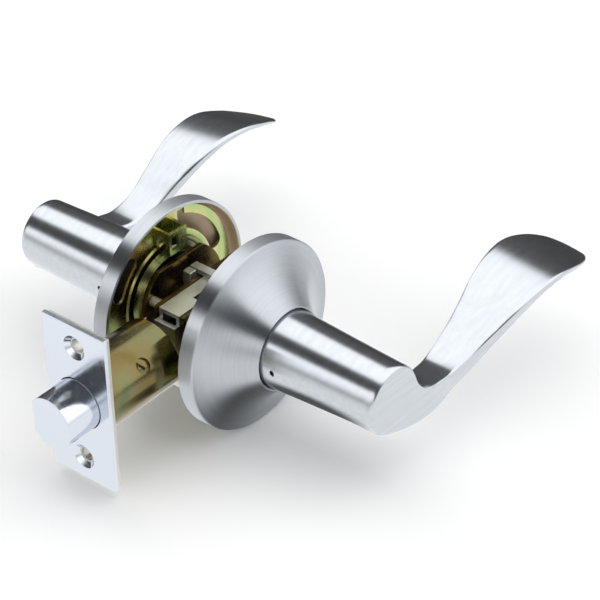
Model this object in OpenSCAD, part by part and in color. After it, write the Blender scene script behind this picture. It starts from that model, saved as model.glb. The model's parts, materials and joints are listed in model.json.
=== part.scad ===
// Passage door lever set: two wave-shaped levers on round roses, a cylindrical
// chassis between them and a square-cornered spring latch.
// Frame: +X is the way the levers point, -X the door edge with the latch bolt,
// -Y the outer side, +Y the inner side, +Z up. The origin is where the lever
// axis (Y) crosses the latch axis (X), half way between the two roses.
// Sizes in millimetres.

/* [Door fit] */
// Gap between the two roses as they stand here
rose_gap = 30; // [30:1:36]
// Latch backset: lever axis to the front of the faceplate
backset = 60; // [58:1:66]

/* [Rose] */
// Radius of each rose
rose_r = 32; // [32:0.5:35]
// Depth of the straight rim of a rose
rose_rim = 5.4; // [5:0.2:6]
// How far the collar stands from the door side of the rose
rose_height = 17; // [16:0.5:18]
// Thickness of the rose shell
rose_wall = 1.2; // [1:0.1:1.4]

/* [Lever] */
// Radius of the neck where it leaves the rose
neck_r = 13; // [12.9:0.05:13.1]
// Radius of the neck at its flat end
neck_end_r = 11.2; // [11:0.1:11.6]
// Lever axis end face, measured from the middle of the set
neck_end_y = 73.9; // [73:0.1:75]

/* [Latch] */
// Width of the faceplate
plate_w = 25.4; // [25:0.1:27]
// Height of the faceplate
plate_h = 57.15; // [57:0.05:58]
// Spacing of the two faceplate screws
screw_pitch = 41.3; // [41:0.1:42]
// Radius of the latch tube
tube_r = 12; // [11.9:0.1:12.4]
// Radius of the latch bolt
bolt_r = 8.75; // [8.6:0.05:8.8]
// Throw of the latch bolt
bolt_throw = 12.7; // [12:0.1:12.7]

/* [Chassis] */
// Radius of the round hub plates
hub_plate_r = 18.5; // [18:0.1:19]
// Radius of the hub tubes that the levers turn on
hub_tube_r = 9.5; // [9.4:0.05:9.55]
// Radius of the spindle
spindle_r = 4; // [3.9:0.05:4]

/* [Hidden] */
$fn = 96;

clearance = 0.06;                    // turning and sliding fits, radial
half_gap = rose_gap / 2;             // door side of each rose
collar_y = half_gap + rose_height;   // top of the rose's collar
rim_y = half_gap + rose_rim;
plate_y = half_gap + 3.3;              // door side of a mounting plate
plate_t = 0.9;
plate_r = rose_r - rose_wall;       // inside of a rose's rim
disc_r = 29.7;                       // edge of a mounting plate
plate_dish = half_gap + 0.6;         // door side of the plate's drawn centre
lever_base_y = 24;                   // hidden end of the neck, inside the rose
hub_tube_end = 34;                   // long enough for a door 15 mm thicker
socket_end = 58;
spindle_end = 57;
hub_plate_y = 11.5;
hub_plate_t = 1.5;
side_y = 4.6;                        // chassis side plates
side_t = 1.4;
screw_ring_r = 22.9;                 // trim screws
screw_angles = [-10, 228];
slot_ring_r = 23.9;                  // arc slots of the mounting plates
slots = [[17, 69], [131, 156]];      // first and last angle of each
slot_w = 5.2;
post_r = 3;
screw_r = 2.1;
pinhole_y = 36.2;
face_x = -backset;
face_t = 1.6;
back_t = 1.5;
tube_front = face_x + face_t + back_t;
tube_end = -27.5;
tube_wall = 1.1;
bolt_flat_y = 6.6;
bolt_lip_x = -48.5;                  // inner end of the bolt
stop_x = -33;                        // spring stop on the tail

// Turns a revolved shape's axis from Z to Y.
module along_y() rotate([-90, 0, 0]) children();
// Turns a revolved shape's axis from Z to X.
module along_x() rotate([0, 90, 0]) children();
// Mirrors a shape that is drawn for the inner side to the outer side.
module outer_side() mirror([0, 1, 0]) children();
module disc_y(r, y0, y1) translate([0, y0, 0]) along_y() cylinder(r = r, h = y1 - y0);
module disc_x(r, x0, x1) translate([x0, 0, 0]) along_x() cylinder(r = r, h = x1 - x0);
module at_screws() for (a = screw_angles) rotate([0, -a, 0]) translate([screw_ring_r, 0, 0]) children();
module block(x, y, z) translate([x[0], y[0], z[0]]) cube([x[1] - x[0], y[1] - y[0], z[1] - z[0]]);

// ---------- roses ----------
// Height of the rose's trumpet face above the rim, at radius r.
function trumpet(r) =
    rim_y + (rose_height - rose_rim - 0.5) * pow((rose_r - 0.8 - r) / (rose_r - 0.8 - neck_r - 1.3), 1.75);

module rose() {
    steps = 16;
    r_in = neck_r + 0.35;
    r_out = neck_r + 1.3;
    face = [for (i = [0:steps]) let (r = rose_r - 0.8 - (rose_r - 0.8 - r_out) * i / steps) [r, trumpet(r) + 0.3]];
    under = [for (i = [steps:-1:0]) let (r = rose_r - 2.2 - (rose_r - 2.2 - r_in - 0.4) * i / steps)
        [r, trumpet(min(r + 0.5, rose_r - 0.8)) - rose_wall]];
    along_y() rotate_extrude() polygon(concat(
        [[rose_r, half_gap + 0.3], [rose_r, rim_y - 0.3], [rose_r - 0.25, rim_y + 0.15]],
        face,
        [[r_out - 0.1, collar_y], [r_in, collar_y], [r_in, collar_y - 1.6]],
        under,
        [[plate_r, rim_y - rose_wall - 0.2], [plate_r, half_gap], [rose_r - 0.3, half_gap]]
    ));
}

// ---------- mounting plates ----------
module arc_slot(first, last) {
    y0 = plate_y - 1;
    y1 = plate_y + plate_t + 1;
    for (a = [first, last]) rotate([0, -a, 0]) translate([slot_ring_r, 0, 0]) disc_y(slot_w / 2, y0, y1);
    rotate([0, -last, 0]) translate([0, y0, 0]) along_y()
        rotate_extrude(angle = last - first) translate([slot_ring_r - slot_w / 2, 0]) square([slot_w, y1 - y0]);
}

module mounting_plate_body() {
    bore = hub_tube_r + clearance;
    along_y() rotate_extrude() polygon([
        [bore, plate_dish], [13.6, plate_dish], [14.6, plate_dish + 0.5], [15.2, plate_y - 0.8],
        [16, plate_y], [17.6, plate_y], [18, plate_y - 0.7], [19, plate_y - 0.7], [19.4, plate_y],
        [disc_r - 0.3, plate_y], [disc_r, plate_y + 0.3], [disc_r, plate_y + plate_t], [15.6, plate_y + plate_t], [14, plate_dish + plate_t + 0.3],
        [bore, plate_dish + plate_t + 0.3]
    ]);
}

// A lanced bridge that stands up from the plate and keeps the rose from turning.
module standing_tab() {
    difference() {
        block([-4.5, 3.5], [plate_y - 6.5, plate_y + 0.4], [18.4, 26.4]);
        block([-3.5, 2.5], [plate_y - 5.5, plate_y + 0.4], [16, 29]);
        block([-3.6, -0.4], [plate_y - 8, plate_y - 4], [20, 25]);
        block([-5, -3], [plate_y - 4.6, plate_y - 1], [16, 24.6]);
    }
}

module mounting_plate(screw_holes = true) {
    difference() {
        mounting_plate_body();
        for (s = slots) arc_slot(s[0], s[1]);
        block([6.4, 9.6], [plate_y - 1, plate_y + plate_t + 1], [24.2, 27]);           // where the tab was lanced
        if (screw_holes) at_screws() disc_y(screw_r + 0.2, plate_y - 1, plate_y + plate_t + 1);
    }
    standing_tab();
}

// ---------- springs ----------
// Close-wound torsion spring round the hub, drawn as the turns that touch each other.
module return_spring() {
    wire = 0.75;
    for (i = [0:2]) translate([0, plate_y + plate_t + 0.9 + i * 1.35, 0]) along_y()
        rotate_extrude() translate([12.6, 0]) circle(r = wire, $fn = 24);
}

// Open coil spring along X, drawn as rings joined by two thin rods.
module coil_x(x0, x1, r, wire, turns) {
    pitch = (x1 - x0 - 2 * wire) / turns;
    for (i = [0:turns]) translate([x0 + wire + i * pitch, 0, 0]) along_x()
        rotate_extrude() translate([r - wire, 0]) circle(r = wire, $fn = 16);
    for (s = [-1, 1]) translate([0, s * (r - wire), 0]) disc_x(wire * 0.8, x0 + wire, x1 - wire);
}

// A C-shaped ring that sits on the hub tube against the mounting plate.
module retaining_ring() {
    y0 = plate_dish + plate_t + 0.3;
    difference() {
        disc_y(12.4, y0, y0 + 1);
        disc_y(hub_tube_r + clearance, y0 - 1, y0 + 2);
        rotate([0, 40, 0]) block([0, 20], [y0 - 1, y0 + 2], [-3, 3]);
    }
}

// ---------- chassis ----------
module chassis_hub() {
    difference() {
        union() {
            intersection() {
                disc_y(hub_plate_r, hub_plate_y, hub_plate_y + hub_plate_t);
                block([-20, 20], [0, 20], [-15.5, 15.5]);
            }
            disc_y(hub_tube_r, hub_plate_y, hub_tube_end);
        }
        disc_y(spindle_r + clearance, 0, 60);
        disc_y(hub_tube_r - 1.4, hub_plate_y + hub_plate_t, 60);
        for (p = rivet_xz) translate([p[0], 0, p[1]]) disc_y(1.2, 0, 20);
    }
}
rivet_xz = [[-14, 7], [-14, -7], [14, -7], [14.5, 2.5]];

module chassis_side() {
    difference() {
        block([-18.7, 18.2], [side_y, side_y + side_t], [-10.5, 10.5]);
        disc_y(spindle_r + 0.4, 0, 20);
        for (p = rivet_xz) translate([p[0], 0, p[1]]) disc_y(1.2, 0, 20);
    }
}

module rivet() {
    disc_y(1.2, side_y, hub_plate_y + hub_plate_t);
    disc_y(1.7, side_y + side_t, hub_plate_y);
    disc_y(2, hub_plate_y + hub_plate_t, hub_plate_y + hub_plate_t + 0.7);
}

module cam() {
    difference() {
        union() {
            disc_y(7, 6.6, 9.8);
            block([-1.5, 1.5], [6.6, 9.8], [0, 12.4]);
        }
        disc_y(spindle_r + 0.01, 0, 20);
    }
}

// ---------- levers ----------
// Stations along the blade: x, top of the outer edge, top of the door-side edge,
// bottom of the outer edge, outer edge |y|, door-side edge |y|, squareness of the edge.
blade = [
    [ -8,  -1.0,   3.0,  -8.6, 73.9, 58.0, 0.20],
    [ -4,   2.0,   7.0, -11.9, 73.9, 58.0, 0.20],
    [  0,   3.6,   8.2, -13.7, 73.9, 58.0, 0.20],
    [  5,   4.4,   7.8, -15.1, 73.9, 59.0, 0.20],
    [  9,   3.2,   5.0, -15.8, 73.9, 60.4, 0.20],
    [ 12,  -0.6,   0.2, -16.1, 73.9, 61.6, 0.21],
    [ 15,  -4.0,  -3.6, -16.2, 73.9, 62.4, 0.22],
    [ 19,  -5.9,  -5.7, -16.2, 73.9, 62.6, 0.24],
    [ 24,  -7.0,  -6.9, -15.8, 73.5, 62.2, 0.27],
    [ 31,  -7.9,  -7.6, -14.6, 72.8, 60.9, 0.30],
    [ 40,  -6.4,  -4.9, -12.2, 73.2, 59.8, 0.34],
    [ 50,  -2.3,   0.3,  -7.0, 75.0, 58.6, 0.38],
    [ 60,   1.9,   5.2,  -1.9, 77.0, 56.6, 0.42],
    [ 70,   4.3,   7.9,   1.5, 78.1, 55.1, 0.45],
    [ 80,   4.3,   7.8,   2.0, 78.2, 54.2, 0.48],
    [ 90,   1.2,   4.8,  -0.9, 76.6, 55.0, 0.50],
    [ 98,  -2.4,   0.8,  -4.3, 73.8, 57.6, 0.50],
    [103,  -4.8,  -3.0,  -6.6, 71.2, 61.2, 0.50],
    [105.4, -6.1, -5.6, -7.2, 69.2, 65.2, 0.50]
];
function rows() = len(blade);
// Slope of column c at row i, for a smooth curve through the stations.
function slope(i, c) = let (a = max(i - 1, 0), b = min(i + 1, rows() - 1))
    (blade[b][c] - blade[a][c]) / (blade[b][0] - blade[a][0]);
// Value of column c, a fraction f of the way from row i to the next one.
function smooth(i, f, c) = let (h = blade[i + 1][0] - blade[i][0], g = f * f, k = g * f)
    (2 * k - 3 * g + 1) * blade[i][c] + (k - 2 * g + f) * h * slope(i, c)
    + (3 * g - 2 * k) * blade[i + 1][c] + (k - g) * h * slope(i + 1, c);
function power(v, e) = sign(v) * pow(abs(v), e);
// One closed section of the blade: a rounded oblong, its top tilted from edge to edge.
function section(i, f, n) = let (
    x = blade[i][0] + f * (blade[i + 1][0] - blade[i][0]),
    zo = smooth(i, f, 1), zd = smooth(i, f, 2), zb = smooth(i, f, 3),
    yo = smooth(i, f, 4), yd = smooth(i, f, 5), e = smooth(i, f, 6),
    half_t = (zo - zb) / 2)
    [for (k = [0:n - 1]) let (
        a = 360 * (k + 0.5) / n, across = power(cos(a), e), up = power(sin(a), e),
        side = (1 - across) / 2)
        [x, yo + side * (yd - yo), zo + side * (zd - zo) - half_t + up * half_t]];

module lever_blade() {
    n = 24;
    per_row = 3;
    rings = [for (i = [0:rows() - 2], s = [0:per_row - 1]) section(i, s / per_row, n)];
    all_rings = concat(rings, [section(rows() - 2, 1, n)]);
    m = len(all_rings);
    points = [for (ring = all_rings, p = ring) p];
    sides = [for (j = [0:m - 2], k = [0:n - 1]) let (q = (k + 1) % n)
        each [[j * n + k, (j + 1) * n + q, j * n + q], [j * n + k, (j + 1) * n + k, (j + 1) * n + q]]];
    first = [[for (k = [0:n - 1]) k]];
    last = [[for (k = [n - 1:-1:0]) (m - 1) * n + k]];
    polyhedron(points, concat(sides, first, last));
}

module neck_body() {
    along_y() rotate_extrude() polygon([
        [0, lever_base_y], [neck_r - 0.2, lever_base_y], [neck_r, lever_base_y + 0.2], [neck_r, 33],
        [12.75, 40], [12.35, 48], [11.95, 56], [11.6, 64], [neck_end_r + 0.05, neck_end_y - 1.2],
        [neck_end_r - 0.3, neck_end_y - 0.35], [neck_end_r - 1, neck_end_y], [0, neck_end_y]
    ]);
}

// The spindle and its sockets have a flat, so that they turn as one.
module flatted(r, y0, y1) intersection() {
    disc_y(r, y0, y1);
    block([-r - 1, r + 1], [y0 - 1, y1 + 1], [-r - 1, 0.7 * r]);
}

module lever() {
    difference() {
        union() {
            neck_body();
            lever_blade();
        }
        disc_y(hub_tube_r + clearance, lever_base_y - 1, hub_tube_end + 0.4);
        flatted(spindle_r + clearance, lever_base_y, socket_end);
        translate([0, pinhole_y, 0]) disc_x(1.75, -9.8, 0);
        translate([0, pinhole_y, 0]) disc_x(0.9, -15, 0);
    }
}

module lever_catch() {
    translate([0, pinhole_y, 0]) disc_x(1.7, -9.6, -spindle_r - 0.35);
}

// ---------- latch ----------
module screw_hole(z) translate([0, 0, z]) {
    disc_x(2.3, face_x - 1, tube_front + 1);
    translate([face_x - 0.01, 0, 0]) along_x() cylinder(r1 = 4.3, r2 = 2.3, h = 2);
}

module bolt_outline(grow, x0, x1) intersection() {
    disc_x(bolt_r + grow, x0, x1);
    block([x0 - 1, x1 + 1], [-20, bolt_flat_y + grow], [-20, 20]);
}

module plate_screws() for (s = [-1, 1]) screw_hole(s * screw_pitch / 2);

// ---------- nodes: outer trim ----------
module outer_rose() color("#d5d8dc") outer_side() rose();
module outer_mounting_plate() color("#b9a94b") outer_side() mounting_plate(false);
module screw_posts() color("#c8c0a0") at_screws() difference() {
    disc_y(post_r, -plate_y, 5);
    disc_y(screw_r + clearance, -plate_y - 1, 6);
}
module outer_return_spring() color("#8d8f92") outer_side() return_spring();
module outer_retaining_ring() color("#6e7074") outer_side() retaining_ring();

// ---------- nodes: chassis ----------
module chassis_hub_outer() color("#8a7a35") outer_side() chassis_hub();
module chassis_hub_inner() color("#8a7a35") chassis_hub();
module chassis_side_outer() color("#8f8348") outer_side() chassis_side();
module chassis_side_inner() color("#8f8348") chassis_side();
module chassis_back_plate() color("#8f8348")
    block([18.2, 19.2], [-side_y - side_t, side_y + side_t], [-9.4, 9.4]);
module chassis_rivets() color("#b8b090") for (s = [0, 1]) mirror([0, s, 0])
    for (p = rivet_xz) translate([p[0], 0, p[1]]) rivet();

module retractor() color("#c9c9c4") difference() {
    union() {
        block([-18.7, 5.2], [-4.2, 4.2], [-10.5, 10.5]);
        block([-21.2, -18], [-4.2, 4.2], [-7, 7]);
        block([1.8, 4.8], [-4.2, 4.2], [10, 12.6]);
        block([1.8, 4.8], [-9.6, 9.6], [10.9, 12.6]);
    }
    block([-19.5, 4.4], [-2.8, 2.8], [-9.1, 9.1]);                                  // hollow
    block([-17.1, 4.4], [-5, 5], [-spindle_r - 0.4, spindle_r + 0.4]);              // spindle window
    block([-22, -19], [-1.7, 1.7], [-3.2, 3.2]);                                    // slot for the tail
    block([-8.5, -1.5], [-4.3, -0.8], [9, 11]);                                     // notch in the top
    for (s = [-1, 1]) translate([0, 0, s * 7.1]) disc_x(2, 4, 6);                   // springs pass out
}
module retractor_springs() color("#9a9ca0")
    for (s = [-1, 1]) translate([0, 0, s * 7.1]) coil_x(-9, 18.2, 1.8, 0.35, 9);

// ---------- nodes: latch ----------
module latch_faceplate() color("#dcdfe2") difference() {
    block([face_x, face_x + face_t], [-plate_w / 2, plate_w / 2], [-plate_h / 2, plate_h / 2]);
    bolt_outline(0.2, face_x - 1, face_x + 5);
    plate_screws();
}
module latch_backplate() color("#c3b871") difference() {
    union() {
        block([face_x + face_t, tube_front], [-plate_w / 2 + 0.6, plate_w / 2 - 0.6],
              [-plate_h / 2 + 0.8, plate_h / 2 - 0.8]);
        for (s = [-1, 1]) translate([0, 0, s * screw_pitch / 2])
            disc_x(4, face_x + face_t, tube_front + 1.4);
    }
    bolt_outline(0.2, face_x - 1, face_x + 5);
    for (s = [-1, 1]) translate([0, 0, s * screw_pitch / 2]) disc_x(2.3, face_x, tube_front + 3);
}
module latch_tube() color("#a89a4e") {
    difference() {
        disc_x(tube_r, tube_front, tube_end);
        disc_x(tube_r - tube_wall, tube_front - 1, tube_end + 1);
    }
    // two tongues run from the tube to the hub plates
    difference() {
        intersection() {
            disc_x(tube_r, tube_end - 1, -18.5);
            block([-30, -18.5], [-20, 20], [-4, 4]);
        }
        disc_x(tube_r - tube_wall, tube_end - 2, -15);
    }
    // a pressed dimple, towards the top of the outer side
    difference() {
        translate([-41, -8.3, 6.3]) sphere(r = 3, $fn = 48);
        disc_x(tube_r - tube_wall, -60, -20);
    }
}
module latch_bolt() color("#c9ccd0") difference() {
    union() {
        bolt_outline(0, face_x - bolt_throw, -55);
        disc_x(tube_r - tube_wall - 0.3, tube_front + 0.1, tube_front + 2.2);
        disc_x(7.6, -55, bolt_lip_x);
    }
    // bevel towards the outer side
    translate([face_x - bolt_throw, bolt_flat_y - 1.2, -20]) rotate([0, 0, -48]) translate([-20, -30, 0])
        cube([20, 30, 40]);
    block([-65.5, bolt_lip_x - 1.7], [-1.8, 1.8], [-5.6, 5.6]);
    block([-65.5, bolt_lip_x + 1], [-1.8, 1.8], [-3.3, 3.3]);
}
module latch_tail() color("#b7ad7a") {
    block([-50.6, -19.4], [-1.4, 1.4], [-2.9, 2.9]);
    block([-52.1, -50.5], [-1.4, 1.4], [-5.2, 5.2]);
    block([-19.4, -17.6], [-1.4, 1.4], [-6, 6]);
    disc_x(5.4, stop_x, stop_x + 1.2);
}
module bolt_spring() color("#9a9ca0") coil_x(bolt_lip_x, stop_x, 5.2, 0.4, 5);

// ---------- nodes: levers and spindle ----------
module spindle() color("#a9abad") union() {
    disc_y(spindle_r, -15, 15);
    flatted(spindle_r, 14, spindle_end);
    outer_side() flatted(spindle_r, 14, spindle_end);
}
module cam_outer() color("#8f9194") outer_side() cam();
module cam_inner() color("#8f9194") cam();
module outer_lever() color("#d5d8dc") outer_side() lever();
module outer_lever_catch() color("#7c7e82") outer_side() lever_catch();

// ---------- nodes: inner trim ----------
module inner_rose() color("#d5d8dc") rose();
module inner_mounting_plate() color("#b9a94b") mounting_plate();
module inner_return_spring() color("#8d8f92") return_spring();
module inner_retaining_ring() color("#6e7074") retaining_ring();
module trim_screws() color("#b8b8b0") at_screws() {
    disc_y(screw_r, -16, plate_y + plate_t);
    disc_y(3, plate_y + plate_t, plate_y + plate_t + 1.2);
}
module inner_lever() color("#d5d8dc") lever();
module inner_lever_catch() color("#7c7e82") lever_catch();

outer_rose();
outer_mounting_plate();
screw_posts();
outer_return_spring();
outer_retaining_ring();
chassis_hub_outer();
chassis_hub_inner();
chassis_side_outer();
chassis_side_inner();
chassis_back_plate();
chassis_rivets();
retractor();
retractor_springs();
latch_faceplate();
latch_backplate();
latch_tube();
latch_bolt();
latch_tail();
bolt_spring();
spindle();
cam_outer();
cam_inner();
outer_lever();
outer_lever_catch();
inner_rose();
inner_mounting_plate();
inner_return_spring();
inner_retaining_ring();
trim_screws();
inner_lever();
inner_lever_catch();
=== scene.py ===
# %% [markdown]
# # A door lever set, piece by piece
#
# The set stands as it comes out of its box: two wave-shaped levers on round roses, a chassis
# between them, and a spring latch. The mechanism is loaded ready made, as fixed nodes. This lesson
# gives it its looks: fine surfaces for what the eye meets first, and a finish for every piece.
#
# Lengths are written in millimetres and put into the meshes in metres.

# %% Load the frame
import json

import bpy
import numpy as np
from mathutils import Matrix, Vector

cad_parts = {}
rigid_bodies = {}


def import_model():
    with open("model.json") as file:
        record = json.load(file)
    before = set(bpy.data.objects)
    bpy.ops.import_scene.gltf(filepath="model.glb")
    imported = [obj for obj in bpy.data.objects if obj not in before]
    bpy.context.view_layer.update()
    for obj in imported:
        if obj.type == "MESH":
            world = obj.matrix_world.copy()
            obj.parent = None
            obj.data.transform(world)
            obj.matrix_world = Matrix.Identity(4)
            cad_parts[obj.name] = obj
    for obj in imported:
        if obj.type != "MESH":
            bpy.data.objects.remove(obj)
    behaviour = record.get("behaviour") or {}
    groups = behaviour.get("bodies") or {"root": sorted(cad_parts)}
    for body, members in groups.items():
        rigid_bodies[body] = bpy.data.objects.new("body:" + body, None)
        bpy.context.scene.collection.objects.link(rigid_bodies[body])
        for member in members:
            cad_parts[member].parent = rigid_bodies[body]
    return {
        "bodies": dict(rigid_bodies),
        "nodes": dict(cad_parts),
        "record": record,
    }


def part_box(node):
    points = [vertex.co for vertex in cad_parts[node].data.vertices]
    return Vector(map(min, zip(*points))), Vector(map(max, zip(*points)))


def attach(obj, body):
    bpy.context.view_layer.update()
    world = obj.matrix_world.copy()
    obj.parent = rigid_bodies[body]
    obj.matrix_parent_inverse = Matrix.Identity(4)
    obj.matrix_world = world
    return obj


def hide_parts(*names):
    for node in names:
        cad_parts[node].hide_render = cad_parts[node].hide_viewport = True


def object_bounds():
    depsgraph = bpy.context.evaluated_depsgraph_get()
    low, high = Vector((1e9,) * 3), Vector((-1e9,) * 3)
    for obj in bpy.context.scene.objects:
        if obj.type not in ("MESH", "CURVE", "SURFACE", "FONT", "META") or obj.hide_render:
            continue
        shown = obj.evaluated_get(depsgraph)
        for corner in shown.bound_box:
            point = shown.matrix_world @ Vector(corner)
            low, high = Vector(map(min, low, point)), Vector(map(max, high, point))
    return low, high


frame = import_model()
NODES = frame["nodes"]
CAD_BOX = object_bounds()
MM = 0.001
print("nodes:", len(NODES), "box in mm:", [round(v / MM, 1) for v in (*CAD_BOX[0], *CAD_BOX[1])])


def node_box(name):
    """Lowest and highest corner of a CAD node, in millimetres, as two arrays."""
    low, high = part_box(name)
    return np.array(low) / MM, np.array(high) / MM


# %% [markdown]
# ## Sizes that the pieces share
#
# The rose's radius, door side and collar are measured from the loaded node. The neck, the bores,
# the rim and the blade can't be read from a box, so they repeat the sizes of the design.
#
# The outer side is -Y and the inner side is +Y. A shape is worked out once, for the inner side,
# where "out from the door" is a growing y, and mirrored for the outer side.

# %% Measure the nodes
rose_low, rose_high = node_box("inner_rose")

ROSE_R = rose_high[0]
DOOR_Y = rose_low[1]
COLLAR_Y = rose_high[1]
RIM = 5.4
SHOULDER = 0.8
FACE_RISE, FACE_SPAN = 11.1, 16.9
NECK_R = 13.0
NECK_END_R = 11.2
NECK_BASE_Y = 24.0
NECK_STRAIGHT_Y = 33.0
NECK_END_Y = 73.9
BORE_R, BORE_END_Y = 9.56, 34.4
SPINDLE_R, SOCKET_END_Y = 4.07, 58.0
PINHOLE_R, PINHOLE_Y = 0.9, 36.2
BLADE_START_X, TIP_X = -6.5, 105.4
CELL = 0.45
SIDES = {"outer": -1, "inner": 1}
print("rose radius", ROSE_R, "door side", DOOR_Y, "collar", COLLAR_Y)


# %% [markdown]
# ## From arrays to meshes
#
# A mesh wants points, faces and, for polished metal, good normals. The helper below takes whole
# numpy arrays. A closed loop of faces is a grid whose last column is joined to its first.

# %% Mesh helpers
def new_piece(name, points, faces, normals=None):
    """Makes a mesh object from an (n, 3) array in millimetres and an (m, 3 or 4) array of indices.

    Each point's own normal can be given, where a formula knows it better than the faces do.
    """
    mesh = bpy.data.meshes.new(name)
    faces = np.asarray(faces, np.int32)
    corners = faces.shape[1]
    mesh.vertices.add(len(points))
    mesh.vertices.foreach_set("co", (np.asarray(points, float) * MM).astype(np.float32).ravel())
    mesh.loops.add(faces.size)
    mesh.loops.foreach_set("vertex_index", faces.ravel())
    mesh.polygons.add(len(faces))
    mesh.polygons.foreach_set("loop_start", np.arange(0, faces.size, corners, dtype=np.int32))
    mesh.polygons.foreach_set("use_smooth", np.full(len(faces), True))
    mesh.update(calc_edges=True)
    mesh.validate()
    if normals is not None:
        mesh.normals_split_custom_set_from_vertices(np.asarray(normals, np.float32))
    piece = bpy.data.objects.new(name, mesh)
    bpy.context.collection.objects.link(piece)
    print(name, len(points), "points", len(faces), "faces")
    return piece


def grid_faces(rows, columns):
    """Quads of a grid of points, row by row; the last column is joined to the first."""
    i, j = np.meshgrid(np.arange(rows - 1), np.arange(columns), indexing="ij")
    k = (j + 1) % columns
    return np.stack([i * columns + j, i * columns + k, (i + 1) * columns + k, (i + 1) * columns + j],
                    -1).reshape(-1, 4)


# %% [markdown]
# ## The levers
#
# Each lever is one casting: a tapered neck, a flat end face, and a blade that leaves the neck in a
# deep notch, rises, broadens and curls over at its tip. Where neck and blade meet there is a
# fillet, so no single grid can cover it. The lever is written instead as a field: a function that
# is negative inside the metal and positive outside. Two shapes are joined by the softened minimum
# of their fields, which leaves a fillet, and cut by the softened maximum, which rounds an edge.
# The surface is then found cell by cell, and each of its points is slid down the field's own
# slope until it lies exactly on the surface. The slope also gives the normal there, so the
# reflections run as smoothly as on the real casting.

# %% The blade's stations
# x, top of the outer edge, top of the door-side edge, underside of the outer edge,
# distance of the outer edge and of the door-side edge from the middle of the door.
BLADE = np.array([
    [-14.0, -9.0, 0.0, -12.0, 73.9, 58.0],
    [-8.0, -1.0, 3.0, -9.2, 73.9, 58.0],
    [-4.0, 2.0, 7.0, -11.9, 73.9, 58.0],
    [0.0, 3.6, 8.2, -13.7, 73.9, 58.0],
    [5.0, 4.4, 7.8, -15.1, 73.9, 59.0],
    [9.0, 3.2, 5.0, -15.8, 73.9, 60.4],
    [12.0, -0.6, 0.2, -16.1, 73.9, 61.6],
    [15.0, -4.0, -3.6, -16.2, 73.9, 62.4],
    [19.0, -5.9, -5.7, -16.2, 73.9, 62.6],
    [24.0, -7.0, -6.9, -15.8, 73.5, 62.2],
    [31.0, -7.9, -7.6, -14.6, 72.8, 60.9],
    [40.0, -6.4, -4.9, -12.2, 73.2, 59.8],
    [50.0, -2.3, 0.3, -7.0, 75.0, 58.6],
    [60.0, 1.9, 5.2, -1.9, 77.0, 56.6],
    [70.0, 4.3, 7.9, 1.5, 78.1, 55.1],
    [80.0, 4.3, 7.8, 2.0, 78.2, 54.2],
    [90.0, 1.2, 4.8, -0.9, 76.6, 55.0],
    [98.0, -2.4, 0.8, -4.3, 73.8, 57.6],
    [103.0, -4.8, -3.0, -6.6, 71.2, 61.2],
    [105.4, -6.1, -5.6, -7.2, 69.2, 65.2],
])


def through_stations(x, column):
    """Smooth curve through one column of BLADE: a cubic between each two stations, whose slope at a
    station is that of the line from the station before to the one after."""
    xs, ys = BLADE[:, 0], BLADE[:, column]
    slope = np.gradient(ys, xs)
    slope[1:-1] = (ys[2:] - ys[:-2]) / (xs[2:] - xs[:-2])
    i = np.clip(np.searchsorted(xs, x) - 1, 0, len(xs) - 2)
    h = xs[i + 1] - xs[i]
    f = np.clip((x - xs[i]) / h, 0, 1)
    return ((2 * f**3 - 3 * f**2 + 1) * ys[i] + (f**3 - 2 * f**2 + f) * h * slope[i]
            + (3 * f**2 - 2 * f**3) * ys[i + 1] + (f**3 - f**2) * h * slope[i + 1])


# %% [markdown]
# ### Neck and blade as one field
#
# The stations give the blade's edges along x. Walls through those edges bound the blade, the neck
# is a round bar that tapers, and the bore, the spindle's socket and the pinhole are taken away.

# %% The lever's field
def soft_min(a, b, k):
    """The smaller of two fields, with a fillet of about k where they are equal."""
    return np.minimum(a, b) - np.maximum(k - np.abs(a - b), 0) ** 2 / (4 * k)


def soft_max(a, b, k):
    """The larger of two fields, with an edge rounded by about k."""
    return np.maximum(a, b) + np.maximum(k - np.abs(a - b), 0) ** 2 / (4 * k)


def neck_radius(y):
    """Radius of the neck, straight where it turns in the rose and then gently hollow to its end."""
    f = np.clip((y - NECK_STRAIGHT_Y) / (NECK_END_Y - NECK_STRAIGHT_Y), 0, 1)
    return NECK_R - (NECK_R - NECK_END_R) * (1.15 * f - 0.15 * f**2)


LOOKUP = np.linspace(-14.0, 106.0, 2401)
EDGES = {c: through_stations(LOOKUP, c) for c in range(1, 6)}
SLOPES = {c: np.gradient(EDGES[c], LOOKUP) for c in EDGES}


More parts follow.
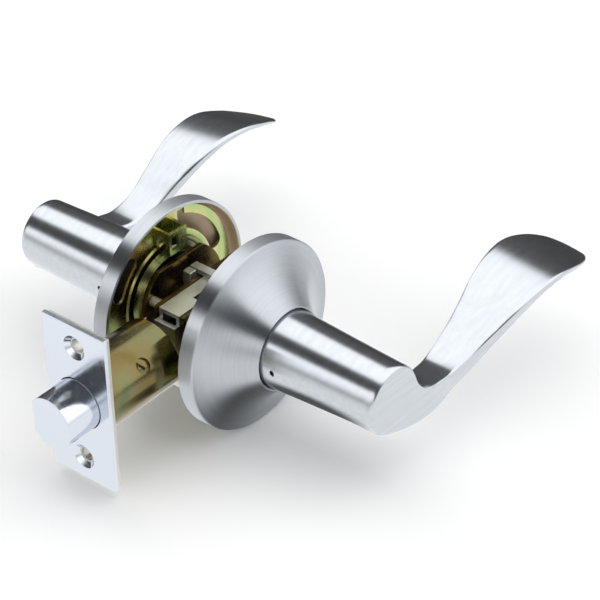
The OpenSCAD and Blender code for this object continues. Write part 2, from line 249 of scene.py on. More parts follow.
def lever_field(p):
    """Signed field of the lever at (n, 3) points in millimetres.

    Neck: distance from the axis less the neck's radius. Blade: the largest of four walls, its top,
    underside, door-side edge and tip, each divided by the length of its own slope. Both are joined,
    then cut by the outer face.
    """
    x, y, z = p.T
    at = {c: np.interp(x, LOOKUP, EDGES[c]) for c in EDGES}
    by = {c: np.interp(x, LOOKUP, SLOPES[c]) for c in SLOPES}
    across = np.clip((at[4] - y) / (at[4] - at[5]), -0.2, 1.2)
    top = at[1] + across * (at[2] - at[1])
    top_slope = by[1] + across * (by[2] - by[1])
    thick = at[1] - at[3]
    crown = 1.6 * np.clip((x - 20) / 30, 0, 1) * np.clip((104 - x) / 20, 0, 1)
    under = top - thick - crown * (1 - (2 * across - 1) ** 2)
    under_slope = by[3] + across * (by[2] - by[1])
    upper = (z - top) / np.hypot(1, top_slope)
    lower = (under - z) / np.hypot(1, under_slope)
    door_side = (at[5] - y) / np.hypot(1, by[5])
    outer_side = (y - at[4]) / np.hypot(1, by[4])
    root = np.clip((24 - x) / 12, 0, 1)
    blade = soft_max(upper, lower, 1.1)
    blade = soft_max(blade, door_side, 1.6 + 3.0 * root)
    blade = np.maximum(blade, BLADE_START_X - x)
    neck = np.hypot(x, z) - neck_radius(y)
    whole = soft_min(neck, blade, 2.4)
    whole = soft_max(whole, outer_side, 0.9 + 1.6 * np.clip((14 - x) / 14, 0, 1))
    whole = soft_max(whole, x - TIP_X, 1.2)
    bore = np.maximum(np.hypot(x, z) - BORE_R, y - BORE_END_Y)
    socket = np.maximum(np.hypot(x, z) - SPINDLE_R, y - SOCKET_END_Y)
    pinhole = np.maximum(np.hypot(y - PINHOLE_Y, z) - PINHOLE_R, x)
    hollow = np.minimum(np.minimum(bore, socket), pinhole)
    return np.maximum(soft_max(whole, NECK_BASE_Y + 0.05 - y, 0.5), -hollow)


# %% [markdown]
# ### From the field to a surface
#
# The box round the lever is cut into small cells, and each cell that the surface crosses gives one
# point. Six short slides down the slope bring every point onto the surface.

# %% Find the surface of a field
def field_normals(field, p, h=0.02):
    """Slope of the field at each point, from small steps along x, y and z, and its length."""
    steps = np.eye(3) * h
    g = np.stack([field(p + s) - field(p - s) for s in steps], 1) / (2 * h)
    return g, np.linalg.norm(g, axis=1, keepdims=True)


def surface_of(field, low, high, cell):
    """Points, quads and normals of the surface where the field is zero.

    A box of cells is laid over the shape. A cell whose corners aren't all on one side holds one
    point of the surface, and each edge that crosses it gives a quad round its four cells.
    """
    counts = np.ceil((high - low) / cell).astype(int) + 1
    axes = [low[a] + cell * np.arange(counts[a]) for a in range(3)]
    corners = np.stack(np.meshgrid(*axes, indexing="ij"), -1)
    inside = field(corners.reshape(-1, 3)).reshape(counts) < 0
    total = sum(inside[i:counts[0] - 1 + i, j:counts[1] - 1 + j, k:counts[2] - 1 + k].astype(np.int8)
                for i in (0, 1) for j in (0, 1) for k in (0, 1))
    mixed = (total > 0) & (total < 8)
    number = np.full(mixed.shape, -1)
    number[mixed] = np.arange(mixed.sum())
    points = low + cell * (np.argwhere(mixed) + 0.5)
    for _ in range(6):
        slope, size = field_normals(field, points)
        step = -field(points)[:, None] * slope / size**2
        points = points + np.clip(step, -0.7 * cell, 0.7 * cell)
    quads = []
    for a in range(3):
        b, c = (a + 1) % 3, (a + 2) % 3
        now = np.moveaxis(inside, (a, b, c), (0, 1, 2))
        cells = np.moveaxis(number, (a, b, c), (0, 1, 2))
        leaves = now[:-1, 1:-1, 1:-1] & ~now[1:, 1:-1, 1:-1]
        enters = ~now[:-1, 1:-1, 1:-1] & now[1:, 1:-1, 1:-1]
        ring = [cells[:, :-1, :-1], cells[:, 1:, :-1], cells[:, 1:, 1:], cells[:, :-1, 1:]]
        quads.append(np.stack([r[leaves] for r in ring], -1))
        quads.append(np.stack([r[enters] for r in ring[::-1]], -1))
    slope, size = field_normals(field, points)
    return points, np.concatenate(quads), slope / size


points, quads, normals = surface_of(lever_field, np.array([-15.0, 22.5, -18.5]),
                                    np.array([107.5, 80.0, 15.5]), CELL)
print("lever:", len(points), "points")


# %% Two levers from one surface
def mirrored(points, faces, normals):
    """The same surface for the outer side: y changes sign, and each face runs the other way round."""
    flip = np.array([1, -1, 1])
    return points * flip, faces[:, ::-1], normals * flip


levers = {}
for side, sign in SIDES.items():
    shape = (points, quads, normals) if sign > 0 else mirrored(points, quads, normals)
    levers[side] = new_piece(f"{side}_lever_casting", *shape)
    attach(levers[side], f"{side}_lever")
    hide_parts(f"{side}_lever")

# %% [markdown]
# ## The roses
#
# A rose is pressed from sheet: a straight rim, a face that sweeps up like the bell of a trumpet,
# and a collar turned round the neck. It is a profile carried round the lever axis. Spin or Screw
# would do it, but a formula for the sweep keeps the reflections free of flats, and the points can
# crowd where the sheet turns sharply.

# %% A profile carried round the axis
def arc(centre, radius, start, end, count=7):
    """Points on a circle round a centre (r, y), from one angle in degrees to another."""
    a = np.radians(np.linspace(start, end, count))
    return np.stack([centre[0] + radius * np.cos(a), centre[1] + radius * np.sin(a)], -1)


def turned(name, profile, columns=256, sign=1):
    """Carries a closed profile of (r, y) points round the Y axis: x = r cos a, z = r sin a."""
    profile = np.asarray(profile, float)
    a = np.linspace(0, 2 * np.pi, columns, endpoint=False)
    r, y = profile[:, :1], profile[:, 1:]
    points = np.stack([r * np.cos(a), sign * y + 0 * a, r * np.sin(a)], -1).reshape(-1, 3)
    rows = len(profile)
    faces = grid_faces(rows + 1, columns) % (rows * columns)
    after = np.roll(profile, -1, axis=0)
    area = 0.5 * np.sum(profile[:, 0] * after[:, 1] - after[:, 0] * profile[:, 1])
    if (area > 0) == (sign > 0):
        faces = faces[:, ::-1]
    return new_piece(name, points, faces)


def trumpet(r):
    """Height of the rose's face at radius r: the rim, then a power curve that steepens to the collar."""
    return DOOR_Y + RIM + FACE_RISE * (np.clip(ROSE_R - SHOULDER - r, 0, None) / FACE_SPAN) ** 1.75


face_r = np.linspace(ROSE_R - 0.9, NECK_R + 1.45, 60)
face = np.stack([face_r, trumpet(face_r) + 0.3], -1)
under_r = np.linspace(NECK_R + 0.75, ROSE_R - 2.2, 40)
under = np.stack([under_r, trumpet(np.minimum(under_r + 0.5, ROSE_R - 0.8)) - 1.2], -1)
rose_profile = np.concatenate([
    arc((ROSE_R - 0.25, DOOR_Y + 0.25), 0.25, -90, 0),
    [[ROSE_R, y] for y in np.linspace(DOOR_Y + 0.5, DOOR_Y + RIM - 0.8, 6)],
    arc((ROSE_R - 0.6, DOOR_Y + RIM - 0.3), 0.6, 0, 86, 9),
    face,
    arc((NECK_R + 0.95, COLLAR_Y - 0.35), 0.35, 20, 150, 9),
    [[NECK_R + 0.4, y] for y in np.linspace(COLLAR_Y - 0.6, COLLAR_Y - 1.6, 4)],
    under,
    [[ROSE_R - 1.2, DOOR_Y + RIM - 1.5], [ROSE_R - 1.2, DOOR_Y + 1.5], [ROSE_R - 1.2, DOOR_Y + 0.2]],
    [[ROSE_R - 1.0, DOOR_Y]],
])
roses = {}
for side, sign in SIDES.items():
    roses[side] = turned(f"{side}_rose_shell", rose_profile, 288, sign)
    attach(roses[side], "trim" if side == "outer" else "inner_trim")
    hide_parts(f"{side}_rose")

# %% [markdown]
# ## Pressed and cut pieces
#
# The chassis, the mounting plates and the latch are punched and bent sheet, a turned tube and a
# cast bolt. Their nodes have the right shape, but a knife edge gives no highlight. A copy of each
# node is merged into one skin, its flat faces are cleared of spare edges, and a Bevel modifier
# breaks every sharp edge by a tenth or two of a millimetre, as a press or a tumbler would.

# %% Copies of nodes with broken edges
import bmesh


def broken_edges(node, body, width=0.15, segments=2, angle=32):
    """A merged copy of a CAD node whose edges over an angle are rounded by width, in millimetres."""
    mesh = NODES[node].data.copy()
    mesh.name = node + "_skin"
    skin = bmesh.new()
    skin.from_mesh(mesh)
    bmesh.ops.remove_doubles(skin, verts=skin.verts, dist=2e-6)
    bmesh.ops.dissolve_limit(skin, angle_limit=np.radians(0.4), verts=skin.verts, edges=skin.edges)
    sharp = np.radians(angle)
    for edge in skin.edges:
        edge.smooth = len(edge.link_faces) == 2 and edge.calc_face_angle(0) < sharp
    for f in skin.faces:
        f.smooth = True
    skin.to_mesh(mesh)
    skin.free()
    mesh.materials.clear()
    piece = bpy.data.objects.new(node + "_skin", mesh)
    bpy.context.collection.objects.link(piece)
    bevel = piece.modifiers.new("broken edges", "BEVEL")
    bevel.width = width * MM
    bevel.segments = segments
    bevel.limit_method = "ANGLE"
    bevel.angle_limit = sharp
    bevel.harden_normals = True
    bevel.use_clamp_overlap = True
    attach(piece, body)
    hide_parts(node)
    print(piece.name, len(mesh.polygons), "faces before the bevel")
    return piece


BODY_OF = {n: body for body, empty in frame["bodies"].items() for n in NODES if NODES[n].parent == empty}
SLOT_OF = {p["node"]: p["material_slot"] for p in frame["record"]["subparts"]}
SKINS = {
    "outer_mounting_plate": 0.15, "inner_mounting_plate": 0.15, "chassis_hub_outer": 0.15,
    "chassis_hub_inner": 0.15, "chassis_side_outer": 0.18, "chassis_side_inner": 0.18,
    "chassis_back_plate": 0.15, "chassis_rivets": 0.2, "retractor": 0.2, "latch_faceplate": 0.16,
    "latch_backplate": 0.2, "latch_tube": 0.15, "latch_bolt": 0.3, "latch_tail": 0.12,
    "screw_posts": 0.15, "cam_outer": 0.2, "cam_inner": 0.2,
}
skins = {n: broken_edges(n, BODY_OF[n], w) for n, w in SKINS.items()}

# %% [markdown]
# ## Shared effects
#
# Brushing, handling marks and the rainbow of a chromate coat turn up in several finishes. Each is a
# node group that is built once, with named inputs and outputs, and placed in a material with that
# finish's own values. All of them read Object coordinates, which are metres here.

# %% A small kit for node groups
def new_group(name, inputs, outputs):
    """A shader node group with named float or colour sockets."""
    group = bpy.data.node_groups.new(name, "ShaderNodeTree")
    for socket, kind, value in inputs:
        made = group.interface.new_socket(socket, in_out="INPUT", socket_type=kind)
        if value is not None:
            made.default_value = value
    for socket, kind in outputs:
        group.interface.new_socket(socket, in_out="OUTPUT", socket_type=kind)
    return group, group.nodes.new("NodeGroupInput"), group.nodes.new("NodeGroupOutput")


def node(tree, kind, inputs=None, **settings):
    """Adds a node; inputs maps a socket's name or number to a value or to another node's socket."""
    made = tree.nodes.new("ShaderNode" + kind)
    for key, value in settings.items():
        setattr(made, key, value)
    for key, value in (inputs or {}).items():
        if isinstance(value, bpy.types.NodeSocket):
            tree.links.new(value, made.inputs[key])
        else:
            made.inputs[key].default_value = value
    return made


def maths(tree, operation, a, b=0.0, c=0.0, clamp=False):
    """One Math node, as a socket."""
    return node(tree, "Math", {0: a, 1: b, 2: c}, operation=operation, use_clamp=clamp).outputs[0]


def colours(ramp, stops):
    """Sets a colour ramp's stops from (place, colour) pairs."""
    band = ramp.color_ramp
    while len(band.elements) > 1:
        band.elements.remove(band.elements[-1])
    for i, (place, colour) in enumerate(stops):
        stop = band.elements[0] if i == 0 else band.elements.new(place)
        stop.position = place
        stop.color = (*colour, 1)
    return ramp


FLOAT, COLOUR = "NodeSocketFloat", "NodeSocketColor"

# %% [markdown]
# ### Brushing
#
# A rose is spun against an abrasive belt, so its scratches run round the axis: they change with
# the radius and hardly with the angle. A blade is brushed from end to end. Both are one noise,
# read through coordinates that are stretched along the scratches.

# %% The brushing groups
def spun_brushing():
    """Scratches round the Y axis: noise of (radius, y, angle), with the angle's share kept small."""
    g, start, end = new_group("Spun brushing",
                              [("Lines per metre", FLOAT, 9000.0), ("Angle share", FLOAT, 6.0)],
                              [("Height", FLOAT), ("Tone", FLOAT)])
    place = node(g, "TexCoord").outputs["Object"]
    x, y, z = node(g, "SeparateXYZ", {0: place}).outputs
    radius = maths(g, "SQRT", maths(g, "ADD", maths(g, "MULTIPLY", x, x), maths(g, "MULTIPLY", z, z)))
    around = maths(g, "ARCTAN2", z, x)
    along = maths(g, "ADD", maths(g, "MULTIPLY", radius, start.outputs[0]),
                  maths(g, "MULTIPLY", y, start.outputs[0]))
    at = node(g, "CombineXYZ", {0: along,
                                1: maths(g, "MULTIPLY", maths(g, "SINE", around), start.outputs[1]),
                                2: maths(g, "MULTIPLY", maths(g, "COSINE", around), start.outputs[1])
                                }).outputs[0]
    fine = node(g, "TexNoise", {"Vector": at, "Scale": 1.0, "Detail": 2.0, "Roughness": 0.6}).outputs["Fac"]
    wide = node(g, "TexNoise", {"Vector": at, "Scale": 0.13, "Detail": 2.0}).outputs["Fac"]
    g.links.new(fine, end.inputs["Height"])
    g.links.new(maths(g, "MULTIPLY_ADD", fine, 0.5, maths(g, "MULTIPLY", wide, 0.5)), end.inputs["Tone"])
    return g


def long_brushing():
    """Scratches along X: noise of coordinates whose x is squeezed, so each mark runs far along x."""
    g, start, end = new_group("Long brushing",
                              [("Lines per metre", FLOAT, 5000.0), ("Length share", FLOAT, 120.0)],
                              [("Height", FLOAT), ("Tone", FLOAT)])
    place = node(g, "TexCoord").outputs["Object"]
    x, y, z = node(g, "SeparateXYZ", {0: place}).outputs
    at = node(g, "CombineXYZ", {0: maths(g, "MULTIPLY", x, start.outputs[1]),
                                1: maths(g, "MULTIPLY", y, start.outputs[0]),
                                2: maths(g, "MULTIPLY", z, start.outputs[0])}).outputs[0]
    fine = node(g, "TexNoise", {"Vector": at, "Scale": 1.0, "Detail": 2.0, "Roughness": 0.6}).outputs["Fac"]
    wide = node(g, "TexNoise", {"Vector": at, "Scale": 0.1, "Detail": 2.0}).outputs["Fac"]
    g.links.new(fine, end.inputs["Height"])
    g.links.new(maths(g, "MULTIPLY_ADD", fine, 0.5, maths(g, "MULTIPLY", wide, 0.5)), end.inputs["Tone"])
    return g


SPUN, LONG = spun_brushing(), long_brushing()
print("groups:", SPUN.name, "|", LONG.name)

# %% [markdown]
# ### Handling marks
#
# Small parts are plated in a tumbling barrel and knock against each other. That leaves short
# scratches in every direction and a slight cloudiness.

# %% The handling group
def handling():
    """Scratches: the narrow middle of two stretched noises, crossed. Cloud: one broad, soft noise."""
    g, start, end = new_group("Handling marks", [("Size", FLOAT, 0.006), ("Seed", FLOAT, 0.0)],
                              [("Scratches", FLOAT), ("Cloud", FLOAT)])
    place = node(g, "TexCoord").outputs["Object"]
    grow = maths(g, "DIVIDE", 1.0, start.outputs[0])
    marks = []
    for turn, squash in (((0.4, 0.9, 0.3), (1, 9, 9)), ((1.9, 0.2, 1.1), (9, 1, 9)),
                         ((0.7, 2.1, 2.0), (9, 9, 1))):
        turned_to = node(g, "Mapping", {"Vector": place, "Rotation": turn, "Scale": squash}).outputs[0]
        at = node(g, "VectorMath", {0: turned_to, "Scale": grow}, operation="SCALE").outputs[0]
        n = node(g, "TexNoise", {"Vector": at, "W": start.outputs[1], "Scale": 1.0, "Detail": 1.0},
                 noise_dimensions="4D").outputs["Fac"]
        middle = maths(g, "ABSOLUTE", maths(g, "SUBTRACT", n, 0.5))
        marks.append(maths(g, "SUBTRACT", 1.0, maths(g, "DIVIDE", middle, 0.018), clamp=True))
    scratches = maths(g, "MAXIMUM", maths(g, "MAXIMUM", marks[0], marks[1]), marks[2])
    cloud = node(g, "TexNoise", {"Vector": place, "W": start.outputs[1], "Scale": 90.0, "Detail": 3.0},
                 noise_dimensions="4D").outputs["Fac"]
    g.links.new(scratches, end.inputs["Scratches"])
    g.links.new(cloud, end.inputs["Cloud"])
    return g


HANDLING = handling()

# %% [markdown]
# ### Chromate coat
#
# Zinc plate dipped in yellow chromate is olive gold, and where the coat runs thicker or thinner it
# turns green, pink or violet, in bands that follow the drain lines and the drawn rings of a plate.
# The coat's thickness is a slow noise plus a wave of the distance from the lever axis, and a
# colour ramp turns thickness into colour.

# %% The chromate group
def chromate():
    """Thickness = noise + share * wave of the radius; the ramp runs gold, green, pink, gold, violet.

    Within the painted shade reach, a radius about the Y axis, the colour falls to 0.30 of its brightness, as
    painted shade round the hub.
    """
    g, start, end = new_group("Chromate coat", [("Patch size", FLOAT, 0.02), ("Ring share", FLOAT, 0.0),
                                                ("Seed", FLOAT, 0.0), ("Shift", FLOAT, 0.0),
                                                ("Variation", FLOAT, 1.5), ("Oil reach", FLOAT, 0.0)],
                              [("Color", COLOUR)])
    place = node(g, "TexCoord").outputs["Object"]
    x, y, z = node(g, "SeparateXYZ", {0: place}).outputs
    grow = maths(g, "DIVIDE", 1.0, start.outputs[0])
    at = node(g, "VectorMath", {0: place, "Scale": grow}, operation="SCALE").outputs[0]
    slow = node(g, "TexNoise", {"Vector": at, "W": start.outputs[2], "Scale": 1.0, "Detail": 1.5,
                                "Roughness": 0.4, "Distortion": 0.3}, noise_dimensions="4D").outputs["Fac"]
    radius = maths(g, "SQRT", maths(g, "ADD", maths(g, "MULTIPLY", x, x), maths(g, "MULTIPLY", z, z)))
    rings = maths(g, "SINE", maths(g, "MULTIPLY", radius, 900.0))
    wide = maths(g, "MULTIPLY_ADD", maths(g, "SUBTRACT", slow, 0.5), start.outputs[4], 0.5)
    waved = maths(g, "MULTIPLY_ADD", rings, start.outputs[1], wide)
    thick = maths(g, "ADD", waved, start.outputs[3], clamp=True)
    ramp = colours(node(g, "ValToRGB", {0: thick}), [
        (0.00, (0.50, 0.38, 0.12)), (0.22, (0.62, 0.52, 0.20)), (0.40, (0.60, 0.60, 0.26)),
        (0.52, (0.42, 0.58, 0.24)), (0.64, (0.66, 0.60, 0.36)), (0.76, (0.74, 0.46, 0.36)),
        (0.88, (0.66, 0.56, 0.24)), (1.00, (0.44, 0.30, 0.38))])
    # Painted shade: inside the reach round the Y axis, the coat is darkened to 0.30 of its colour.
    past = maths(g, "SUBTRACT", radius, start.outputs[5])
    painted_shade = node(g, "MapRange", {"Value": past, "From Min": -0.002, "From Max": 0.001,
                                 "To Min": 0.30, "To Max": 1.0})
    coat = node(g, "VectorMath", {0: ramp.outputs["Color"], "Scale": painted_shade.outputs["Result"]},
                operation="SCALE")
    g.links.new(coat.outputs[0], end.inputs["Color"])
    return g


CHROMATE = chromate()

# %% [markdown]
# ## Finishes
#
# Six material slots, each with its finish; satin chrome and yellow zinc have a variant besides.
# They are bare or plated metal, so Metallic is 1 and almost everything is decided by roughness, by
# the direction of the grain, and by what there is to reflect. Only the dull brass on the back of a
# rose is less than fully metallic.

# %% Start of a finish
def finish(name, **sockets):
    """A material with one Principled BSDF; sockets are set by name, with spaces for underscores."""
    material = bpy.data.materials.new(name)
    material.use_nodes = True
    tree = material.node_tree
    shader = tree.nodes["Principled BSDF"]
    for key, value in sockets.items():
        shader.inputs[key.replace("_", " ")].default_value = value
    return material, tree, shader


def put(tree, group, **values):
    """Places a node group with its own values."""
    made = tree.nodes.new("ShaderNodeGroup")
    made.node_tree = group
    for key, value in values.items():
        made.inputs[key.replace("_", " ")].default_value = value
    return made


def spread(tree, value, low, high):
    """Maps 0..1 to low..high."""
    return node(tree, "MapRange", {"Value": value, "To Min": low, "To Max": high}).outputs["Result"]


def worn_roughness(tree, shader, marks, low, high, scratch):
    """Roughness: low to high by the cloud of a handling group, plus scratch where a mark runs."""
    cloud = spread(tree, marks.outputs["Cloud"], low, high)
    mark = maths(tree, "MULTIPLY", marks.outputs["Scratches"], scratch)
    tree.links.new(maths(tree, "ADD", cloud, mark), shader.inputs["Roughness"])


def raised(tree, shader, height, strength, distance):
    """Feeds a height in 0..1 to the shader's normal through a Bump node; distance in metres."""
    bump = node(tree, "Bump", {"Height": height, "Strength": strength, "Distance": distance})
    tree.links.new(bump.outputs[0], shader.inputs["Normal"])


# %% [markdown]
# ### Satin chrome
#
# Two versions of one finish. The rose's scratches run round its axis, so a light is drawn out into
# a wedge from rim to collar: the roughness differs along and across the scratches, which is
# Anisotropic with a tangent that runs round the Y axis. The levers are brushed lengthwise and then
# mopped, so they are nearly even in all directions.

# %% Satin chrome on roses and levers
def satin_chrome(name, group, low, high, bump, **sockets):
    """Chrome brushed by a group: its tone sets the roughness, low to high, and darkens the scratches."""
    material, tree, shader = finish(name, Base_Color=(0.61, 0.62, 0.64, 1), Metallic=1.0, **sockets)
    grain = put(tree, group)
    marks = put(tree, HANDLING, Size=0.02, Seed=3.0)
    rough = maths(tree, "ADD", spread(tree, grain.outputs["Tone"], low, high),
                  maths(tree, "MULTIPLY", maths(tree, "SUBTRACT", marks.outputs["Cloud"], 0.5), 0.05))
    tree.links.new(rough, shader.inputs["Roughness"])
    tone = colours(node(tree, "ValToRGB", {0: grain.outputs["Tone"]}),
                   [(0.3, (0.52, 0.55, 0.585)), (0.7, (0.61, 0.64, 0.675))])
    tree.links.new(tone.outputs["Color"], shader.inputs["Base Color"])
    raised(tree, shader, grain.outputs["Height"], bump, 0.00002)
    return material, tree, shader


SATIN_ROSE, tree, shader = satin_chrome("satin_chrome_spun", SPUN, 0.38, 0.43, 0.05, Anisotropic=1.0,
                                        Anisotropic_Rotation=0.25)
tree.links.new(node(tree, "Tangent", direction_type="RADIAL", axis="Y").outputs[0], shader.inputs["Tangent"])
SATIN_LEVER, _, _ = satin_chrome("satin_chrome_long", LONG, 0.17, 0.25, 0.05)

# %% [markdown]
# ### Polished nickel, zinc and spring wire
#
# The faceplate and the bolt are polished and show clear reflections with a few hairlines. The zinc
# pieces take their colour from the chromate group; the chassis's coat is darkened to about a fifth.

# %% The other finishes
def polished_nickel():
    """Bright nickel: roughness 0.09 to 0.17 by the cloud, plus 0.10 in a hairline."""
    material, tree, shader = finish("polished_nickel", Base_Color=(0.66, 0.70, 0.765, 1), Metallic=1.0)
    marks = put(tree, HANDLING, Size=0.012, Seed=1.0)
    worn_roughness(tree, shader, marks, 0.09, 0.17, 0.10)
    raised(tree, shader, marks.outputs["Scratches"], 0.12, 0.00002)
    return material


def zinc(name, patch, rings, shift, variation, dark, low, high, seed, shade_reach=0.0, waves=0.0):
    """Chromated zinc; dark multiplies the coat's colour, and waves is the depth in metres of ripples
    drawn out along X."""
    material, tree, shader = finish(name, Metallic=1.0)
    # The shade reach paints shade: within it, round the Y axis, the coat is darkened.
    coat = put(tree, CHROMATE, Patch_size=patch, Ring_share=rings, Seed=seed, Shift=shift,
               Variation=variation, Oil_reach=shade_reach)
    marks = put(tree, HANDLING, Size=0.008, Seed=seed)
    mix = tree.nodes.new("ShaderNodeMix")
    mix.data_type, mix.blend_type = "RGBA", "MULTIPLY"
    mix.inputs[0].default_value = 1.0
    tree.links.new(coat.outputs["Color"], mix.inputs[6])
    mix.inputs[7].default_value = (*dark, 1)
    tree.links.new(mix.outputs[2], shader.inputs["Base Color"])
    worn_roughness(tree, shader, marks, low, high, 0.12)
    if waves:
        x, y, z = node(tree, "SeparateXYZ", {0: node(tree, "TexCoord").outputs["Object"]}).outputs
        along = node(tree, "CombineXYZ", {0: maths(tree, "MULTIPLY", x, 0.12), 1: y, 2: z}).outputs[0]
        ripple = node(tree, "TexNoise", {"Vector": along, "Scale": 260.0, "Detail": 1.0})
        raised(tree, shader, ripple.outputs["Fac"], 1.0, waves)
    else:
        raised(tree, shader, marks.outputs["Scratches"], 0.15, 0.00002)
    return material


def bright_zinc():
    """Clear zinc plate: grey by the cloud, roughness 0.24 to 0.40, plus 0.15 in a scratch."""
    material, tree, shader = finish("bright_zinc", Metallic=1.0)
    marks = put(tree, HANDLING, Size=0.005, Seed=7.0)
    tone = colours(node(tree, "ValToRGB", {0: marks.outputs["Cloud"]}),
                   [(0.3, (0.52, 0.52, 0.47)), (0.7, (0.68, 0.68, 0.63))])
    tree.links.new(tone.outputs["Color"], shader.inputs["Base Color"])
    worn_roughness(tree, shader, marks, 0.24, 0.40, 0.15)
    raised(tree, shader, marks.outputs["Scratches"], 0.3, 0.00003)
    return material


def spring_steel():
    """Drawn wire under oil: dark grey by the cloud, at an even roughness."""
    material, tree, shader = finish("spring_steel", Metallic=1.0, Roughness=0.3)
    marks = put(tree, HANDLING, Size=0.004, Seed=9.0)
    tone = colours(node(tree, "ValToRGB", {0: marks.outputs["Cloud"]}),
                   [(0.3, (0.30, 0.30, 0.32)), (0.7, (0.46, 0.47, 0.49))])
    tree.links.new(tone.outputs["Color"], shader.inputs["Base Color"])
    return material


FINISH = {
    "polished_nickel": polished_nickel(),
    # Yellow zinc is darkened within 20 mm of the lever axis: painted shade round the hub.
    "yellow_zinc": zinc("yellow_zinc", 0.022, 0.07, -0.04, 1.2, (0.95, 0.95, 0.90), 0.16, 0.26, 2.0,
                        shade_reach=0.0200),
    "dark_zinc": zinc("dark_zinc", 0.012, 0.0, -0.20, 0.8, (0.20, 0.155, 0.12), 0.16, 0.30, 5.0),
    "bright_zinc": bright_zinc(),
    "spring_steel": spring_steel(),
}

# %% [markdown]
# ### The back of a rose
#
# Only the outside of a rose is polished and plated. Its back keeps the warm, dull tone of the
# pressed brass, which shows through the slots of the mounting plates.

# %% Raw brass
def raw_brass():
    """Dull, warm metal under oxide: colour by the cloud, and less than half metallic."""
    material, tree, shader = finish("raw_brass", Metallic=0.4, Roughness=0.45)
    marks = put(tree, HANDLING, Size=0.008, Seed=4.0)
    tone = colours(node(tree, "ValToRGB", {0: marks.outputs["Cloud"]}),
                   [(0.3, (0.78, 0.56, 0.40)), (0.7, (0.88, 0.72, 0.54))])
    tree.links.new(tone.outputs["Color"], shader.inputs["Base Color"])
    return material


# %% [markdown]
# ### Dressing the pieces
#
# A rose has two finishes, so its faces are sorted by place. Every other piece takes its slot's
# finish, but for the tube and the backplate, whose coats have aged differently.

# %% Put each finish on its pieces
def wear(piece, material):
    """One material on the whole piece."""
    piece.data.materials.clear()
    piece.data.materials.append(material)


BACK = raw_brass()
for side in SIDES:
    wear(levers[side], SATIN_LEVER)
    wear(roses[side], SATIN_ROSE)
    shell = roses[side].data
    shell.materials.append(BACK)
    centres = np.empty(len(shell.polygons) * 3, np.float32)
    shell.polygons.foreach_get("center", centres)
    cx, cy, cz = centres.reshape(-1, 3).T / MM
    r = np.hypot(cx, cz)
    inner = (r < ROSE_R - 1.1) & (np.abs(cy) < trumpet(r) - 0.35) & (r > NECK_R + 0.6)
    shell.polygons.foreach_set("material_index", inner.astype(np.int32))
    print(shell.name, int(inner.sum()), "faces on the back")
for n, piece in skins.items():
    wear(piece, FINISH[SLOT_OF[n]])
# The tube's coat is brown, oily and rippled along the tube; the backplate's is worn to bare zinc.
wear(skins["latch_tube"], zinc("yellow_zinc_oily", 0.012, 0.0, -0.20, 1.1, (0.31, 0.30, 0.33),
                               0.12, 0.22, 6.0, waves=0.0003))
wear(skins["latch_backplate"], FINISH["bright_zinc"])
for n, thing in NODES.items():
    if not thing.hide_render:
        wear(thing, FINISH[SLOT_OF[n]])
print("bare nodes still shown:", [n for n, o in NODES.items() if not o.hide_render])

# %% [markdown]
# ## Floor and light
#
# Metal is only as good as what it reflects. The studio is a pale floor, two long soft boxes over
# the set with a dark gap between them, and a dark end wall behind its right side. The boxes run
# parallel to the lever axis, so a direction's angle in the X-Z plane decides which of them it
# meets. They are painted into the world, where they give soft light without a visible edge. Seen
# by the camera, the world is plain and pale.

# %% The floor
# Metal sees the floor as an even glowing panel with a painted shadow below the outer rose. The panel
# ends near the set; further out the lower half of the world takes its place, so that the end
# wall's reflection reaches below the set.
FLOOR_Z = min(CAD_BOX[0][2], -0.032) - 0.0002
SHADOW_PATCH_AT = Vector((-0.003, -0.032, 0.0))
FLOOR_GLOW = 1.12
bpy.ops.mesh.primitive_plane_add(size=8.0, location=(0, 0, FLOOR_Z))
floor = bpy.context.object
floor.name = "studio_floor"
pale = bpy.data.materials.new("pale_floor")
pale.use_nodes = True
tree = pale.node_tree
tree.nodes.clear()
place = node(tree, "TexCoord").outputs["Object"]
path = node(tree, "LightPath").outputs
away = node(tree, "VectorMath", {0: place}, operation="LENGTH").outputs["Value"]
from_shadow_patch = node(tree, "VectorMath", {0: place, 1: SHADOW_PATCH_AT}, operation="DISTANCE").outputs["Value"]
ends = node(tree, "MapRange", {"Value": away, "From Min": 0.10, "From Max": 0.13}).outputs["Result"]
# Painted shadow: the panel's glow falls to a tenth within 14 mm of the patch below the outer rose, and is
# full from 30 mm.
glow = node(tree, "MapRange", {"Value": from_shadow_patch, "From Min": 0.014, "From Max": 0.030,
                               "To Min": 0.10 * FLOOR_GLOW, "To Max": FLOOR_GLOW},
            interpolation_type="SMOOTHSTEP").outputs["Result"]
matt = node(tree, "AddShader", {0: node(tree, "BsdfDiffuse", {"Color": (0.97, 0.97, 0.97, 1)}).outputs[0],
                               1: node(tree, "Emission", {"Strength": 0.06}).outputs[0]}).outputs[0]
panel = node(tree, "Emission", {"Strength": glow}).outputs[0]
under = node(tree, "MixShader", {0: ends, 1: panel, 2: node(tree, "BsdfTransparent").outputs[0]}).outputs[0]
mirrored_ray = maths(tree, "MULTIPLY", path["Is Glossy Ray"],
                     maths(tree, "SUBTRACT", 1.0, path["Is Camera Ray"]))
mixed = node(tree, "MixShader", {0: mirrored_ray, 1: matt, 2: under})
tree.links.new(mixed.outputs[0], node(tree, "OutputMaterial").inputs[0])
wear(floor, pale)
print("floor at", round(FLOOR_Z / MM, 2), "mm")

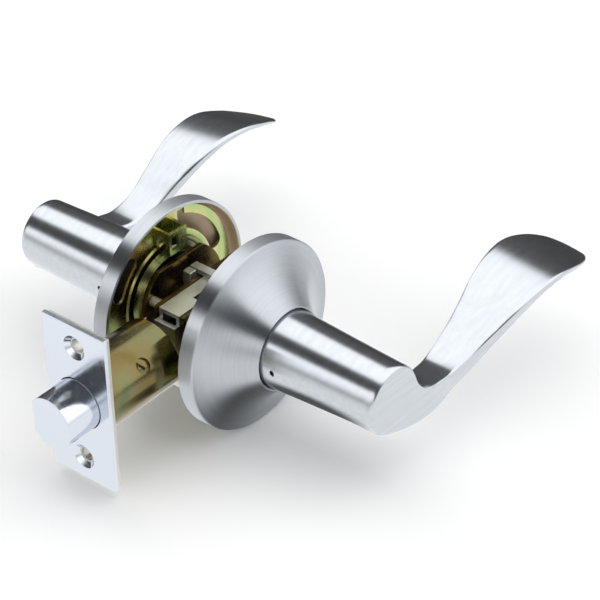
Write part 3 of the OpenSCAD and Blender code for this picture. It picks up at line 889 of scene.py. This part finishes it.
# %% The world with its two soft boxes
STRENGTH = 2.0
GAP_AT = np.radians(125.0)
world = bpy.data.worlds.new("studio")
bpy.context.scene.world = world
world.use_nodes = True
sky = world.node_tree
sky.nodes.clear()
direction = node(sky, "TexCoord").outputs["Generated"]
x, y, z = node(sky, "SeparateXYZ", {0: direction}).outputs
turn = maths(sky, "DIVIDE", maths(sky, "ARCTAN2", z, x), np.pi)
boxes = colours(node(sky, "ValToRGB", {0: turn}), [
    (0.00, (0.50,) * 3), (0.10, (0.78,) * 3), (0.60, (0.82,) * 3), (0.64, (0.76,) * 3),
    (0.77, (0.60,) * 3), (0.83, (0.82,) * 3), (0.91, (0.72,) * 3), (0.97, (0.40,) * 3),
    (1.00, (0.20,) * 3)])
ground = colours(node(sky, "ValToRGB", {0: maths(sky, "MULTIPLY", turn, -1.0)}), [
    (0.00, (0.50,) * 3), (0.12, (0.58,) * 3), (0.85, (0.58,) * 3), (0.95, (0.45,) * 3),
    (1.00, (0.22,) * 3)])
half = node(sky, "MapRange", {"Value": z, "From Min": -0.03, "From Max": 0.03}).outputs["Result"]
whole = sky.nodes.new("ShaderNodeMix")
whole.data_type = "RGBA"
sky.links.new(half, whole.inputs[0])
sky.links.new(ground.outputs[0], whole.inputs[6])
sky.links.new(boxes.outputs[0], whole.inputs[7])


def away_from(axis, inner, outer, low):
    """Brightness by the angle between a direction and an axis: low up to inner degrees, 1 from outer on."""
    toward = node(sky, "VectorMath", {0: direction, 1: tuple(Vector(axis).normalized())},
                  operation="DOT_PRODUCT").outputs["Value"]
    return node(sky, "MapRange", {"Value": toward, "From Min": np.cos(np.radians(outer)),
                                  "From Max": np.cos(np.radians(inner)), "To Min": 1.0, "To Max": low},
                interpolation_type="SMOOTHSTEP").outputs["Result"]


off_gap = node(sky, "VectorMath", {0: direction, 1: (-np.sin(GAP_AT), 0, np.cos(GAP_AT))},
               operation="DOT_PRODUCT").outputs["Value"]
gap = node(sky, "MapRange", {"Value": maths(sky, "ABSOLUTE", off_gap), "From Min": 0.20, "From Max": 0.34,
                             "To Min": 0.05, "To Max": 1.0},
           interpolation_type="SMOOTHSTEP").outputs["Result"]
up_gap = node(sky, "VectorMath", {0: direction, 1: (np.cos(GAP_AT), 0, np.sin(GAP_AT))},
              operation="DOT_PRODUCT").outputs["Value"]
gap_here = node(sky, "MapRange", {"Value": up_gap, "From Min": -0.25, "From Max": 0.0}).outputs["Result"]
gap = maths(sky, "ADD", maths(sky, "MULTIPLY", gap, gap_here), maths(sky, "SUBTRACT", 1.0, gap_here))
shade = maths(sky, "MULTIPLY", away_from((0.903, 0.421, 0.087), 35, 46, 0.07), gap)
light = node(sky, "VectorMath", {0: whole.outputs[2], "Scale": shade}, operation="SCALE").outputs[0]
lit = node(sky, "Background", {"Color": light, "Strength": STRENGTH})
plain = node(sky, "Background", {"Color": (0.92, 0.92, 0.92, 1), "Strength": 1.05})
shown = node(sky, "MixShader", {0: node(sky, "LightPath").outputs["Is Camera Ray"], 1: lit.outputs[0],
                                2: plain.outputs[0]})
sky.links.new(shown.outputs[0], node(sky, "OutputWorld").inputs[0])
bpy.context.scene.view_settings.view_transform = "Standard"

# %% [markdown]
# ## Camera
#
# A long lens from a good distance keeps the roses' ellipses calm. The camera stands to the left of
# the outer side and looks down on the set, turned a little about its own axis.

# %% The camera
AZIMUTH, ELEVATION, ROLL = np.radians([-48.71, 35.67, -1.88])
AIM = np.array([0.0, -0.03752, 0.02107])
DISTANCE = 0.85
LENS = 168.05
back = np.array([np.sin(AZIMUTH) * np.cos(ELEVATION), -np.cos(AZIMUTH) * np.cos(ELEVATION),
                 np.sin(ELEVATION)])
level = np.array([np.cos(AZIMUTH), np.sin(AZIMUTH), 0.0])
rise = np.cross(back, level)
right = np.cos(ROLL) * level + np.sin(ROLL) * rise
up = np.cos(ROLL) * rise - np.sin(ROLL) * level
lens = bpy.data.cameras.new("camera")
lens.lens = LENS
lens.clip_start, lens.clip_end = 0.05, 50
camera = bpy.data.objects.new("camera", lens)
bpy.context.collection.objects.link(camera)
stand = AIM + back * DISTANCE
turned_axes = np.stack([right, up, back], 1)
camera.matrix_world = Matrix([[*row, place] for row, place in zip(turned_axes, stand)] + [[0, 0, 0, 1]])
bpy.context.scene.camera = camera
